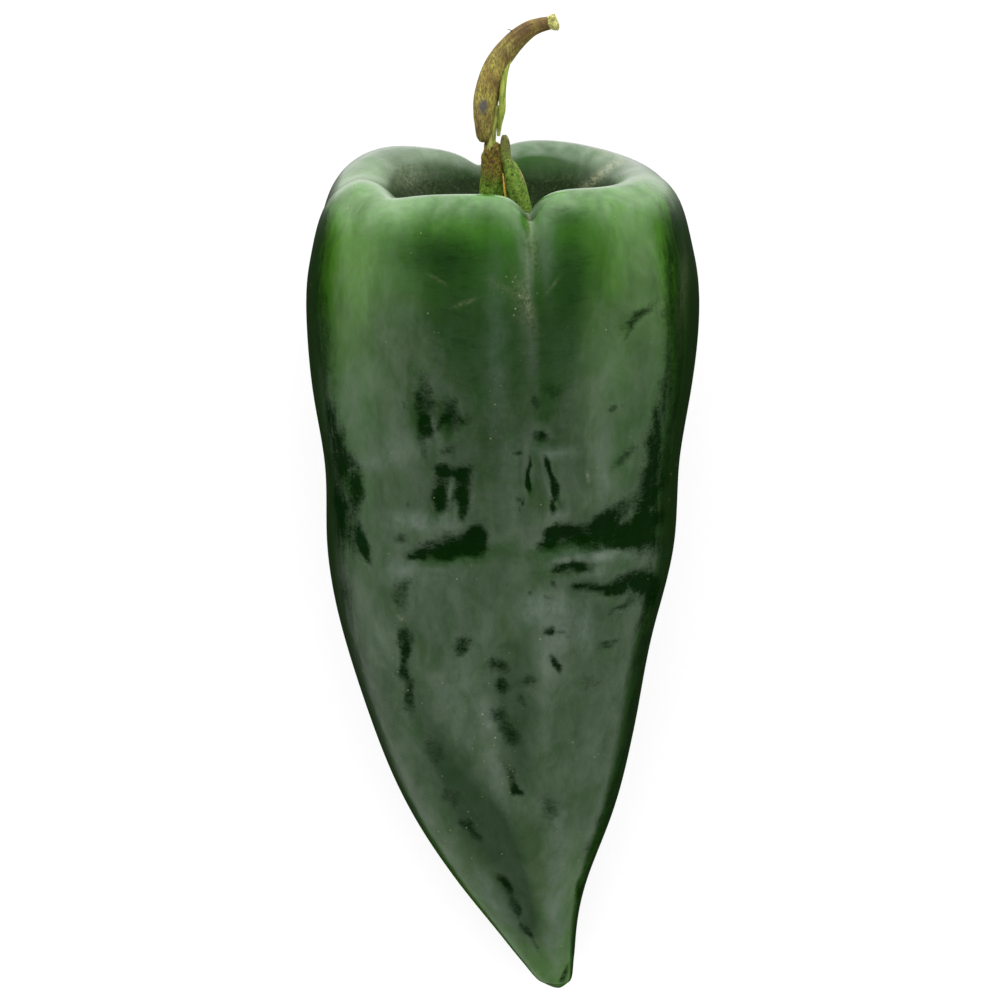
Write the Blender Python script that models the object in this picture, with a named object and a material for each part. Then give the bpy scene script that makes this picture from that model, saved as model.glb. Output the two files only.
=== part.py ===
"""A poblano pepper as picked, lying on a surface: the lobed fruit, and its calyx and snapped stem.

The row's frame is in metres with +Z up. The stem points along +Y, the side that faces the viewer is up,
and the surface that the pepper lies on is at Z = 0.

The pepper's own frame has its axis along Y: x runs to the right, y from the tip to the stem, and z to the
front. Its origin is on the axis, level with the crest of the shoulders.
"""

import math

import bmesh
import bpy
import numpy as np
from mathutils import Matrix, Vector, noise

MM = 0.001

# How the pepper lies, on its two back lobes and a place near the tip. It tapers, so its axis leans down to
# the tip, and the lobes are unequal, so it rolls a little to the left.
LEAN = math.radians(10.65)
ROLL = math.radians(-3.6)
FLAT_SPOT_DEPTH = 0.35 * MM
CUTTER_SIZE = 0.4

# The fruit's outline. Each row is the distance below the crest, then how far the skin lies from the axis
# on the left, on the right, in front and behind, all in millimetres.
SECTIONS = (
    (0.0, 32.2, 31.4, 25.6, 26.2),
    (14.0, 33.0, 32.7, 26.0, 26.8),
    (24.5, 32.6, 32.7, 26.2, 26.8),
    (37.5, 31.2, 30.9, 26.0, 25.0),
    (49.5, 29.3, 29.2, 25.3, 22.2),
    (62.0, 29.2, 28.6, 24.4, 19.4),
    (76.0, 27.1, 25.5, 22.8, 16.6),
    (92.5, 22.2, 22.7, 19.6, 13.6),
    (109.5, 15.2, 18.4, 14.6, 10.8),
    (123.0, 7.4, 14.1, 9.3, 7.6),
    (133.0, 0.0, 12.4, 5.6, 4.8),
    (142.0, -6.4, 12.1, 2.6, 2.4),
)
SQUARENESS_FRONT = 2.6
SQUARENESS_BACK = 3.0

# Half the fruit's lengthwise section. Each row is the share of the section's size, and the distance below
# the crest in millimetres, from the floor of the stem's hollow over the crest to the tip.
MERIDIAN = (
    (0.00, 13.6),
    (0.28, 13.0),
    (0.42, 9.6),
    (0.55, 4.2),
    (0.64, 1.0),
    (0.74, 0.0),
    (0.85, 1.6),
    (0.93, 5.2),
    (0.97, 12.0),
    (1.00, 26.0),
    (1.00, 78.0),
    (1.00, 129.8),
    (0.95, 137.3),
    (0.70, 140.9),
    (0.00, 142.1),
)
RING_CROWDING = 0.55
CREST_ROW = 5

# The crest of the shoulders. Each row is a bearing in degrees from the front towards the right, and how
# high the crest stands there in millimetres.
CREST = (
    (-84.0, -1.2),
    (-64.0, -0.8),
    (-50.0, -2.2),
    (-38.0, -1.6),
    (-12.0, -0.6),
    (3.0, -0.1),
    (30.0, 0.6),
    (43.0, 0.2),
    (58.0, -0.1),
    (75.0, -0.1),
    (105.0, -0.9),
    (125.0, -0.8),
    (150.0, 0.6),
    (175.0, 1.1),
    (215.0, 0.1),
    (232.0, 0.5),
    (250.0, 0.0),
)
CREST_REACH = 16.0

# The furrows between the four lobes. Each row is the bearing, the furrow's half width in degrees, then in
# millimetres how far the crest dips, how deep the wall is creased, and how far down the crease runs.
FURROWS = (
    (17.0, 7.0, 4.6, 2.0, 30.0),
    (109.0, 17.0, 0.6, 1.4, 26.0),
    (195.0, 10.0, 3.9, 3.2, 70.0),
    (273.0, 18.0, 0.6, 1.5, 28.0),
)

# The larger dents in the skin. Each row is the side, +1 in front and -1 behind, then in millimetres how far
# the dent's middle is to the right and below the crest, its half length and half width and its depth, and
# last its turn in degrees.
DENTS = (
    (1, 17.0, 57.5, 11.0, 3.4, 1.7, 4.0),
    (1, 22.0, 66.5, 8.0, 2.6, 0.9, 14.0),
    (1, -8.5, 58.5, 6.5, 2.6, 0.8, 9.0),
    (1, -7.0, 49.5, 2.6, 6.0, 0.6, 0.0),
    (1, -11.5, 38.0, 2.4, 7.0, 0.5, 4.0),
    (1, 6.5, 47.5, 3.4, 6.0, 0.7, 0.0),
    (1, 9.0, 80.0, 3.0, 4.5, 0.7, 20.0),
    (1, -16.0, 78.0, 2.6, 12.0, 0.8, 6.0),
    (1, -1.0, 90.0, 2.8, 13.0, 0.8, 10.0),
    (1, -4.5, 108.0, 3.0, 5.0, 0.7, 30.0),
    (1, 3.0, 122.0, 2.0, 6.5, 0.6, 24.0),
    (-1, -11.0, 66.0, 8.0, 3.0, 1.0, -8.0),
    (-1, 13.0, 81.0, 6.5, 3.0, 0.8, 12.0),
    (-1, 3.0, 47.0, 3.0, 9.0, 0.9, 6.0),
)
UNEVENNESS = 0.55 * MM
UNEVEN_WAVELENGTH = 24 * MM

FRUIT_AROUND = 72
FRUIT_RINGS = 46

# The calyx sits in the hollow. Each row is the radius and the height above the hollow's floor there in
# millimetres, from its edge up to the foot of the stem.
CALYX_TOP = ((8.4, 1.0), (7.4, 1.5), (6.2, 3.0), (5.0, 5.3), (4.1, 8.0), (3.2, 11.4), (2.4, 13.6))
CALYX_TURN = 0.62 * math.pi
CALYX_LEAN_FROM = 3.0 * MM
CALYX_POINTS = 5
CALYX_POINT_REACH = 0.09
CALYX_CENTRE_RIGHT = 0.9 * MM
CALYX_LEAN_RIGHT = -0.12
CALYX_AROUND = 40
CALYX_RINGS = 20
GAP = 0.3 * MM

# The stem's pieces. Each row is a place on the piece's middle line in the pepper's frame, then its half
# width and half depth there, all in millimetres.
STEM_FOOT = (
    (0.1, -7.04, 0.0, 3.0, 2.9),
    (-1.0, -3.64, 0.0, 2.5, 2.5),
    (-1.5, -0.73, 0.1, 2.0, 2.2),
    (-1.7, 1.8, 0.2, 1.8, 2.0),
    (-1.5, 2.96, 0.2, 1.3, 1.5),
)
STEM_FLAP = (
    (3.2, -7.14, 0.9, 1.5, 1.7),
    (2.2, -3.84, 0.9, 1.35, 1.6),
    (1.5, -0.73, 0.8, 1.1, 1.5),
    (1.2, 2.18, 0.7, 0.9, 1.3),
    (0.9, 4.32, 0.5, 0.8, 1.1),
    (0.8, 5.39, 0.4, 0.4, 0.6),
)
STEM_SHANK = (
    (-1.9, 2.48, 0.3, 1.1, 1.2),
    (-2.1, 3.16, 0.3, 1.75, 1.8),
    (-2.3, 6.07, 0.3, 2.1, 2.1),
    (-2.2, 9.96, 0.3, 2.3, 2.3),
    (-1.7, 13.65, 0.2, 2.25, 2.2),
    (-0.5, 17.05, 0.1, 2.1, 2.1),
    (1.8, 20.25, 0.0, 1.8, 1.9),
    (4.3, 22.39, 0.0, 1.55, 1.6),
    (6.3, 23.27, 0.0, 1.35, 1.4),
    (7.8, 23.65, 0.0, 1.25, 1.3),
    (9.0, 23.85, 0.0, 1.45, 1.5),
)
STEM_STRIP = (
    (0.25, 17.15, 0.5, 0.4, 0.7),
    (0.45, 13.84, 0.6, 0.7, 0.9),
    (0.45, 10.35, 0.7, 0.75, 0.9),
    (0.15, 7.04, 0.7, 0.6, 0.7),
    (-0.55, 4.52, 0.6, 0.42, 0.5),
    (-1.15, 2.38, 0.5, 0.5, 0.6),
)
STEM_FIBRES = (
    (-1.1, 8.01, 0.2, 0.8, 1.0),
    (-0.9, 5.1, 0.2, 0.7, 0.9),
    (-1.1, 2.77, 0.2, 0.75, 0.9),
    (-1.3, 0.24, 0.2, 0.9, 1.0),
)
# Each piece's stations, and its facets round and along.
STEM_PIECES = {
    "stem_foot": (STEM_FOOT, 16, 12),
    "stem_flap": (STEM_FLAP, 12, 14),
    "stem_shank": (STEM_SHANK, 20, 26),
    "stem_strip": (STEM_STRIP, 10, 16),
    "stem_fibres": (STEM_FIBRES, 10, 10),
}
STEM_RIBS = 5
STEM_RIB_HEIGHT = 0.05
LIMB_STEP = 0.01
SHARP_ANGLE = math.radians(40)

SKIN_COLOUR = (0.022, 0.075, 0.016, 1.0)
SKIN_ROUGHNESS = 0.25
BARK_COLOUR = (0.16, 0.15, 0.045, 1.0)
BARK_ROUGHNESS = 0.7


def spline(knots, values, at):
    """The natural cubic spline through the values at the knots, read at every place in `at`."""
    knots = np.asarray(knots, float)
    values = np.asarray(values, float)
    step = np.diff(knots)
    rise = np.diff(values) / step
    size = len(knots)
    matrix = np.eye(size)
    right = np.zeros(size)
    for i in range(1, size - 1):
        matrix[i, i - 1 : i + 2] = (step[i - 1], 2 * (step[i - 1] + step[i]), step[i])
        right[i] = 6 * (rise[i] - rise[i - 1])
    bend = np.linalg.solve(matrix, right)
    i = np.clip(np.searchsorted(knots, at) - 1, 0, size - 2)
    h = step[i]
    before = knots[i + 1] - at
    after = at - knots[i]
    return (
        (bend[i] * before**3 + bend[i + 1] * after**3) / (6 * h)
        + (values[i] / h - bend[i] * h / 6) * before
        + (values[i + 1] / h - bend[i + 1] * h / 6) * after
    )


def section(depth):
    """The middle (x, z) and the half width and half depth of the fruit's section, `depth` below the crest."""
    rows = np.array(SECTIONS) * MM
    left, right, front, back = (spline(rows[:, 0], rows[:, i], depth) for i in (1, 2, 3, 4))
    return (right - left) / 2, (front - back) / 2, (left + right) / 2, (front + back) / 2


def crest_height(bearing):
    """How high the crest stands at each bearing, before the furrows."""
    rows = np.array(CREST)
    knots = np.concatenate([rows[:, 0] - 360, rows[:, 0], rows[:, 0] + 360])
    return spline(knots, np.tile(rows[:, 1], 3), np.degrees(bearing)) * MM


def furrows(bearing, depth):
    """How far the furrows lower the crest, and how far they crease the wall, at each bearing and depth."""
    dip = np.zeros_like(bearing)
    crease = np.zeros_like(bearing)
    for centre, half_width, crest_dip, wall_depth, run in FURROWS:
        away = np.angle(np.exp(1j * (bearing - math.radians(centre)))) / math.radians(half_width)
        valley = 1 / (1 + np.abs(away) ** 1.8)
        dip += crest_dip * MM * valley
        crease += wall_depth * MM * valley * np.exp(-((depth / (run * MM)) ** 2))
    return dip, crease


def dents(x, z_side, depth):
    """How deep the larger dents press the skin in, at points that face the front or the back."""
    pressed = np.zeros_like(x)
    for side, right, down, half_length, half_width, deep, turn in DENTS:
        across = x - right * MM
        along = depth - down * MM
        cosine = math.cos(math.radians(turn))
        sine = math.sin(math.radians(turn))
        u = (across * cosine - along * sine) / (half_length * MM)
        v = (across * sine + along * cosine) / (half_width * MM)
        facing = np.clip(side * z_side, 0, 1) ** 0.5
        pressed += deep * MM * np.exp(-(u**2) - v**2) * facing
    return pressed


def unevenness(points):
    """A gentle unevenness of the skin, the same on every run."""
    scaled = points / UNEVEN_WAVELENGTH
    return UNEVENNESS * np.array([noise.noise(Vector(p)) for p in scaled])


def smooth(knots, values, at):
    """A smooth curve through the values that never swings past them, read at every place in `at`."""
    knots = np.asarray(knots, float)
    values = np.asarray(values, float)
    step = np.diff(knots)
    rise = np.diff(values) / step
    slope = np.zeros(len(knots))
    same_way = rise[:-1] * rise[1:] > 0
    weight_a = 2 * step[1:] + step[:-1]
    weight_b = step[1:] + 2 * step[:-1]
    safe_a = np.where(same_way, rise[:-1], 1)
    safe_b = np.where(same_way, rise[1:], 1)
    slope[1:-1] = np.where(same_way, (weight_a + weight_b) / (weight_a / safe_a + weight_b / safe_b), 0)
    i = np.clip(np.searchsorted(knots, at) - 1, 0, len(step) - 1)
    t = (at - knots[i]) / step[i]
    start = values[i] + t * step[i] * slope[i]
    end = values[i + 1] - (1 - t) * step[i] * slope[i + 1]
    return start + (end - start) * t * t * (3 - 2 * t)


def meridian_at(polar):
    """The share of the section's size and the depth below the crest, for angles from the stem's pole."""
    rows = np.array(MERIDIAN)
    apart = np.hypot(np.diff(rows[:, 0]) * SECTIONS[0][1], np.diff(rows[:, 1]))
    knots = np.concatenate([[0], np.cumsum(apart**RING_CROWDING)])
    knots *= math.pi / knots[-1]
    return smooth(knots, rows[:, 0], polar), smooth(knots, rows[:, 1] * MM, polar), knots[CREST_ROW]


def fruit_surface(polar, bearing):
    """Points of the fruit, for angles from the stem's pole (0 to pi) and bearings from the front."""
    share, depth, crest = meridian_at(polar)
    middle_x, middle_z, half_width, half_depth = section(depth)
    sine, cosine = np.sin(bearing), np.cos(bearing)
    power = (SQUARENESS_FRONT + SQUARENESS_BACK + (SQUARENESS_FRONT - SQUARENESS_BACK) * cosine) / 2
    radius = (np.abs(sine / half_width) ** power + np.abs(cosine / half_depth) ** power) ** (-1 / power)

    dip, crease = furrows(bearing, np.where(polar > crest, depth, 0))
    near_crest = np.exp(-((depth / (CREST_REACH * MM)) ** 2)) * np.clip(share / 0.5, 0, 1) ** 2
    out = radius * share - crease * share**2
    x = middle_x + out * sine
    z = middle_z + out * cosine
    y = -depth + (crest_height(bearing) - dip) * near_crest

    wall = np.clip((share - 0.6) / 0.4, 0, 1)
    points = np.stack([x, y, z], axis=1)
    pressed = (dents(x, cosine, depth) - unevenness(points)) * wall
    points[:, 0] -= pressed * sine
    points[:, 2] -= pressed * cosine
    return points


def calyx_surface(polar, bearing):
    """Points of the calyx: its upper side down from the stem, then its underside along the hollow's floor."""
    top = np.array(CALYX_TOP[::-1]) * MM
    edge = top[-1, 0]
    on_top = polar <= CALYX_TURN
    knots = np.linspace(0, CALYX_TURN, len(top) + 1)
    radius_top = smooth(knots, np.append([0], top[:, 0]), np.minimum(polar, CALYX_TURN))
    above = smooth(knots, np.append([top[0, 1]], top[:, 1]), np.minimum(polar, CALYX_TURN))
    radius_under = edge * (math.pi - polar) / (math.pi - CALYX_TURN)
    radius = np.where(on_top, radius_top, radius_under)
    radius *= 1 + CALYX_POINT_REACH * np.cos(CALYX_POINTS * bearing) * (radius / edge) ** 3
    leaning = CALYX_LEAN_RIGHT * np.clip(above - CALYX_LEAN_FROM, 0, None)
    x = CALYX_CENTRE_RIGHT + radius * np.sin(bearing) + np.where(on_top, leaning, 0)
    z = radius * np.cos(bearing)
    y = hollow_floor(radius) + np.where(on_top, above, GAP)
    return np.stack([x, y, z], axis=1)


def hollow_floor(radius):
    """How high the hollow's floor lies at this distance from its middle."""
    rows = np.array(MERIDIAN[: CREST_ROW + 1])
    return -np.interp(radius / (SECTIONS[0][3] * MM), rows[:, 0], rows[:, 1]) * MM


def unit(vectors):
    return vectors / np.linalg.norm(vectors, axis=1, keepdims=True)


def limb_surface(stations, rings):
    """A function for points of a tapered limb with cut ends, along the smooth line through the stations."""
    rows = np.array(stations) * MM
    knots = np.linspace(0, 1, len(rows))
    first_ring = math.pi / rings

    def middle(t):
        return np.stack([spline(knots, rows[:, i], np.clip(t, 0, 1)) for i in range(3)], axis=1)

    def surface(polar, bearing):
        t = np.clip((polar - first_ring) / (math.pi - 2 * first_ring), 0, 1)
        along = unit(middle(t + LIMB_STEP) - middle(t - LIMB_STEP))
        across = unit(np.cross(along, (0, 0, 1)))
        front = np.cross(across, along)
        off_the_poles = np.sin(polar) > math.sin(first_ring / 2)
        ribbed = off_the_poles * (1 + STEM_RIB_HEIGHT * np.cos(STEM_RIBS * bearing))
        half_width = spline(knots, rows[:, 3], t) * ribbed * np.sin(bearing)
        half_depth = spline(knots, rows[:, 4], t) * ribbed * np.cos(bearing)
        return middle(t) + across * half_width[:, None] + front * half_depth[:, None]

    return surface


def new_mesh_object(name, mesh, collection, material=None):
    """An object with this mesh in this collection."""
    made = bpy.data.objects.new(name, mesh)
    collection.objects.link(made)
    if material:
        mesh.materials.append(material)
    return made


def shaped_sphere(name, around, rings, surface, collection, material=None):
    """A sphere primitive with its points moved onto a surface, by their angle from the pole and bearing."""
    ball = bmesh.new()
    bmesh.ops.create_uvsphere(ball, u_segments=around, v_segments=rings, radius=1.0)
    co = np.array([v.co for v in ball.verts])
    polar = np.arccos(np.clip(co[:, 2], -1, 1))
    bearing = np.arctan2(co[:, 0], co[:, 1])
    for vertex, place in zip(ball.verts, surface(polar, bearing)):
        vertex.co = place
    bmesh.ops.recalc_face_normals(ball, faces=ball.faces)
    mesh = bpy.data.meshes.new(name)
    ball.to_mesh(mesh)
    ball.free()
    mesh.shade_smooth()
    mesh.set_sharp_from_angle(angle=SHARP_ANGLE)
    return new_mesh_object(name, mesh, collection, material)


def plain_material(name, colour, roughness):
    """A Principled BSDF with this colour and roughness."""
    material = bpy.data.materials.new(name)
    material.use_nodes = True
    shader = material.node_tree.nodes["Principled BSDF"]
    shader.inputs["Base Color"].default_value = colour
    shader.inputs["Roughness"].default_value = roughness
    shader.inputs["Metallic"].default_value = 0.0
    return material


def new_collection(name):
    """A collection under the scene's own."""
    collection = bpy.data.collections.new(name)
    bpy.context.scene.collection.children.link(collection)
    return collection


def make_floor_cutter(collection):
    """A box below the surface that the pepper lies on."""
    box = bmesh.new()
    bmesh.ops.create_cube(box, size=CUTTER_SIZE)
    mesh = bpy.data.meshes.new("floor_cutter")
    box.to_mesh(mesh)
    box.free()
    cutter = new_mesh_object("floor_cutter", mesh, collection)
    cutter.location = (0, 0, -CUTTER_SIZE / 2)
    cutter.hide_render = True
    cutter.display_type = "WIRE"
    return cutter


def skin_material():
    """Smooth, glossy, very dark green skin."""
    return plain_material("skin", SKIN_COLOUR, SKIN_ROUGHNESS)


def bark_material():
    """Dry olive-brown stem."""
    return plain_material("bark", BARK_COLOUR, BARK_ROUGHNESS)


def make_fruit(collection, cutter):
    """The fruit, with its low points cut flat where it rests."""
    skin = skin_material()
    fruit = shaped_sphere("fruit", FRUIT_AROUND, FRUIT_RINGS, fruit_surface, collection, skin)
    rest = fruit.modifiers.new("rest", "BOOLEAN")
    rest.operation = "DIFFERENCE"
    rest.object = cutter
    return fruit


def make_stem(collection, pieces):
    """The calyx and the snapped stem, which grew as one piece, joined into one solid."""
    bark = bark_material()
    stem = shaped_sphere("stem", CALYX_AROUND, CALYX_RINGS, calyx_surface, collection, bark)
    for name, (stations, around, rings) in STEM_PIECES.items():
        shaped_sphere(name, around, rings, limb_surface(stations, rings), pieces)
    join = stem.modifiers.new("join", "BOOLEAN")
    join.operation = "UNION"
    join.operand_type = "COLLECTION"
    join.collection = pieces
    bpy.context.view_layer.update()
    joined = bpy.data.meshes.new_from_object(stem.evaluated_get(bpy.context.evaluated_depsgraph_get()))
    stem.modifiers.clear()
    stem.data = joined
    for piece in list(pieces.objects):
        bpy.data.objects.remove(piece)
    return stem


def lift(turned):
    """How far the turned pepper has to rise for its low places to be cut by the flat spots' depth."""
    polar = np.linspace(0.2 * math.pi, math.pi, 200)
    bearing = np.linspace(-math.pi, math.pi, 361)
    polar, bearing = (grid.ravel() for grid in np.meshgrid(polar, bearing))
    points = fruit_surface(polar, bearing) @ np.array(turned).T
    return -points[:, 2].min() - FLAT_SPOT_DEPTH


def centre_over_origin(frame, solids):
    """Slides the pepper along the surface until its box is centred on the origin."""
    bpy.context.view_layer.update()
    graph = bpy.context.evaluated_depsgraph_get()
    points = []
    for solid in solids:
        shape = solid.evaluated_get(graph)
        points += [shape.matrix_world @ vertex.co for vertex in shape.data.vertices]
    for axis in (0, 1):
        ends = [point[axis] for point in points]
        frame.location[axis] -= (min(ends) + max(ends)) / 2


def main():
    for old in list(bpy.data.objects):
        bpy.data.objects.remove(old)
    pepper = new_collection("poblano_pepper")
    cutters = new_collection("cutters")
    pieces = new_collection("stem_pieces")

    frame = bpy.data.objects.new("pepper_axis", None)
    pepper.objects.link(frame)
    frame.rotation_mode = "YXZ"
    frame.rotation_euler = (LEAN, ROLL, 0)
    frame.location = (0, 0, lift(Matrix.Rotation(LEAN, 3, "X") @ Matrix.Rotation(ROLL, 3, "Y")))

    fruit = make_fruit(pepper, make_floor_cutter(cutters))
    stem = make_stem(pepper, pieces)
    fruit.parent = frame
    stem.parent = frame
    centre_over_origin(frame, (fruit, stem))


main()
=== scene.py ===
"""How the poblano pepper looks: its skin, dents and scars, and its calyx and snapped stem.

The pepper's own frame has its axis along Y: x runs to the right, y from the tip to the stem, and z to the
front, the side that faces the camera. Its origin is on the axis, level with the crest of the shoulders.
"""

import math

import bmesh
import bpy
import numpy as np
from mathutils import Matrix, Vector, noise


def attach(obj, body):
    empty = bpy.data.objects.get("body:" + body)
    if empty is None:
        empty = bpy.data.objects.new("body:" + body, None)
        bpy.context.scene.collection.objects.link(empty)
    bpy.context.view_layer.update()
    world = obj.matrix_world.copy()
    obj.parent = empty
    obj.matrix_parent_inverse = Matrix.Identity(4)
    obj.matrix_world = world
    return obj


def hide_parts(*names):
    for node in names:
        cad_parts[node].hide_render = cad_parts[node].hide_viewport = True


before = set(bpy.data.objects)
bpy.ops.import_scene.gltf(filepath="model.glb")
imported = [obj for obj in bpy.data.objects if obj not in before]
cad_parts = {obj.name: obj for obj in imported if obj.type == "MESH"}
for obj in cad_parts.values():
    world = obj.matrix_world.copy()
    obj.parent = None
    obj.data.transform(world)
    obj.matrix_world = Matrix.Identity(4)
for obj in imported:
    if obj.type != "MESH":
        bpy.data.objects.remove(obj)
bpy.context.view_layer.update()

MM = 0.001
BODY = "root"

# Where the pepper's frame lies in the row's frame.
LEAN = math.radians(10.65)
ROLL = math.radians(-3.6)
AXIS_PLACE = Vector((0.0, 0.057556, 0.030442))
AXIS_TURN = Matrix.Rotation(LEAN, 3, "X") @ Matrix.Rotation(ROLL, 3, "Y")

# The camera looks down on the pepper, leaning a little to the stem's end.
CAMERA_LENS = 200.0
CAMERA_SENSOR = 36.0
CAMERA_LEAN = math.radians(4.2)
CAMERA_TARGET = Vector((-0.56, 2.35, 26.0)) * MM
# How much the picture spans at the camera's target, and its width in pixels.
PICTURE_WIDTH = 165 * MM
PICTURE_PIXELS = 1000

# The fruit's outline, as the solids have it. Each row is a depth below the crest, then how far the skin lies
# from the axis on the left, on the right, in front and behind, in millimetres.
SECTIONS = (
    (0.0, 32.2, 31.4, 25.6, 26.2),
    (14.0, 33.0, 32.7, 26.0, 26.8),
    (24.5, 32.6, 32.7, 26.2, 26.8),
    (37.5, 31.2, 30.9, 26.0, 25.0),
    (49.5, 29.3, 29.2, 25.3, 22.2),
    (62.0, 29.2, 28.6, 24.4, 19.4),
    (76.0, 27.1, 25.5, 22.8, 16.6),
    (92.5, 22.2, 22.7, 19.6, 13.6),
    (109.5, 15.2, 18.4, 14.6, 10.8),
    (123.0, 7.4, 14.1, 9.3, 7.6),
    (133.0, 0.0, 12.4, 5.6, 4.8),
    (142.0, -6.4, 12.1, 2.6, 2.4),
)
# The power of the sections' curves: 2 is an ellipse, and more is squarer.
SQUARENESS_FRONT = 2.6
SQUARENESS_BACK = 3.0
# The lengthwise section, from the hollow over the crest to the tip. Each row is a share of the outline's size
# and a depth below the crest in millimetres.
MERIDIAN = (
    (0.0, 13.6),
    (0.28, 13.0),
    (0.42, 9.6),
    (0.55, 4.2),
    (0.64, 1.0),
    (0.74, 0.0),
    (0.85, 1.6),
    (0.93, 5.2),
    (0.97, 12.0),
    (1.0, 26.0),
    (1.0, 78.0),
    (1.0, 129.8),
    (0.95, 137.3),
    (0.7, 140.9),
    (0.0, 142.1),
)
CREST_ROW = 5
# 1 spaces the rings evenly along the section, and less draws them together where it bends.
RING_CROWDING = 0.55
# The section is the mean over these shifts of the angle, so that no line shows in the gloss.
MERIDIAN_SHIFTS = (-0.075, -0.05, -0.025, 0.0, 0.025, 0.05, 0.075)
# The crest of the shoulders. Each row is a bearing in degrees from the front towards the right, and how
# high the crest stands there in millimetres.
CREST = (
    (-84.0, -1.2),
    (-64.0, -0.8),
    (-50.0, -2.2),
    (-38.0, -1.6),
    (-12.0, -0.6),
    (3.0, -0.1),
    (30.0, 0.6),
    (43.0, 0.2),
    (58.0, -0.1),
    (75.0, -0.1),
    (105.0, -0.9),
    (125.0, -0.8),
    (150.0, 0.6),
    (175.0, 1.1),
    (215.0, 0.1),
    (232.0, 0.5),
    (250.0, 0.0),
)
# How far down the crest's rise reaches, and the share of the outline at which it is full.
CREST_REACH = 16.0
CREST_FULL_SHARE = 0.5

# The furrows between the four lobes. Each row is the bearing, the furrow's half width in degrees, then in
# millimetres how far the crest dips, how deep the wall is creased, and how far down the crease runs.
FURROWS = (
    (17.0, 7.0, 4.6, 2.0, 30.0),
    (109.0, 17.0, 0.6, 1.4, 26.0),
    (195.0, 10.0, 3.9, 3.2, 70.0),
    (273.0, 18.0, 0.6, 1.5, 28.0),
)

# The studio's light. WALL_LIGHT is how bright the walls are, by the direction from the tip's side (0) to the
# stem's side (1). The others go by the height, from straight down (0) over the horizon (0.5) to straight up
# (1): the share of the walls' light at both sides, near the tip and beyond the stem, and the dim ceiling.
WALL_LIGHT = ((0.0, 1.2), (0.35, 1.3), (0.6, 1.45), (0.75, 2.6), (0.88, 4.0), (1.0, 4.8))
RING_LIGHT = ((0.45, 0.0), (0.54, 0.85), (0.62, 1.0), (0.72, 1.0), (0.775, 0.7), (0.82, 0.14), (0.93, 0.0))
RING_NEAR = ((0.25, 0.0), (0.33, 0.75), (0.5, 0.8), (0.62, 0.9), (0.7, 1.15), (0.79, 0.9), (0.86, 0.14),
             (0.95, 0.0))
RING_BEYOND = ((0.0, 0.12), (0.2, 0.45), (0.5, 0.9), (0.62, 0.85), (0.72, 0.56), (0.8, 0.22), (0.88, 0.06),
               (0.95, 0.0))
CEILING_LIGHT = ((0.46, 0.01), (0.7, 0.1), (0.85, 0.28), (1.0, 0.36))
# How much higher the light near the tip stands towards the right.
NEAR_RAISED = 0.11
# The directions over which the light near the tip turns into the sides', and that into the light beyond.
NEAR_TO_SIDES = (0.31, 0.4)
SIDES_TO_BEYOND = (0.58, 0.84)

# The floor, which glows a little to look as pale as the picture's ground.
FLOOR_HALF_WIDTH = 3.0
FLOOR_LOOK = {
    "Base Color": (0.3, 0.3, 0.3, 1),
    "Roughness": 0.8,
    "Emission Color": (1, 1, 1, 1),
    "Emission Strength": 0.72,
}

# The skin's points: how many round it, its rings, and how much they crowd at the front.
FRUIT_AROUND = 520
FRUIT_RINGS = 420
FRONT_CROWDING = 0.35
# How far the skin lies inside the solid's surface.
SKIN_INSET = 0.04 * MM
# The skin is made in pieces to keep each mesh small: the bearings, in degrees, at which they meet.
SKIN_PIECES = {
    "skin_left": (-180, -38),
    "skin_front": (-38, 42),
    "skin_right": (42, 112),
    "skin_back": (112, 180),
}
# The wall's gentle unevenness, which starts at this share of the outline.
UNEVENNESS = 0.55 * MM
UNEVEN_WAVELENGTH = 24 * MM
UNEVEN_FROM_SHARE = 0.6

# The dents. Each row is where the picture shows the dent's middle, to the right and down, then its half
# length and half width there in pixels, its turn in degrees clockwise from level, and its depth in mm.
DENTS = (
    (423, 411, 33, 11, 90, 0.5),
    (449, 415, 19, 9, 84, 0.4),
    (441, 494, 28, 8, 95, 0.6),
    (461, 494, 29, 8, 88, 0.55),
    (461, 544, 34, 14, -6, 0.95),
    (425, 556, 22, 6, -3, 0.35),
    (540, 438, 11, 9, 0, 0.35),
    (529, 474, 19, 4, 90, 0.3),
    (548, 468, 14, 4, 84, 0.3),
    (555, 492, 16, 5, 70, 0.34),
    (562, 540, 30, 13, -12, 0.8),
    (600, 533, 38, 17, -10, 1.0),
    (630, 508, 28, 16, -52, 1.0),
    (577, 568, 26, 7, -2, 0.45),
    (603, 588, 34, 8, -8, 0.65),
    (640, 574, 24, 10, -38, 0.8),
    (625, 459, 15, 5, -40, 0.26),
    (618, 611, 13, 4, -38, 0.2),
    (608, 644, 15, 5, -17, 0.34),
    (552, 632, 9, 5, 20, 0.26),
    (555, 664, 11, 6, 62, 0.42),
    (637, 318, 22, 5, -36, 0.28),
    (399, 597, 16, 11, 100, 0.34),
    (405, 655, 28, 8, 86, 0.3),
    (409, 699, 22, 8, 84, 0.34),
    (462, 645, 12, 8, 110, 0.24),
    (500, 676, 15, 9, 60, 0.28),
    (503, 722, 20, 9, 66, 0.32),
    (517, 786, 34, 11, 82, 0.34),
    (470, 827, 12, 9, 40, 0.28),
    (504, 885, 15, 9, 62, 0.36),
    (520, 918, 20, 7, 62, 0.34),
    (356, 472, 20, 9, 46, 0.55),
    (360, 535, 30, 7, 66, 0.5),
    (345, 585, 12, 5, 74, 0.3),
    (582, 891, 10, 5, 90, 0.26),
)
DENT_POWER = 1.1
# Marks fade out where the skin's normal rises less than this.
MARK_FACING = 0.25
# How far the edges of uneven marks wander, in pixels.
MARK_WANDER = 1.6
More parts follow.
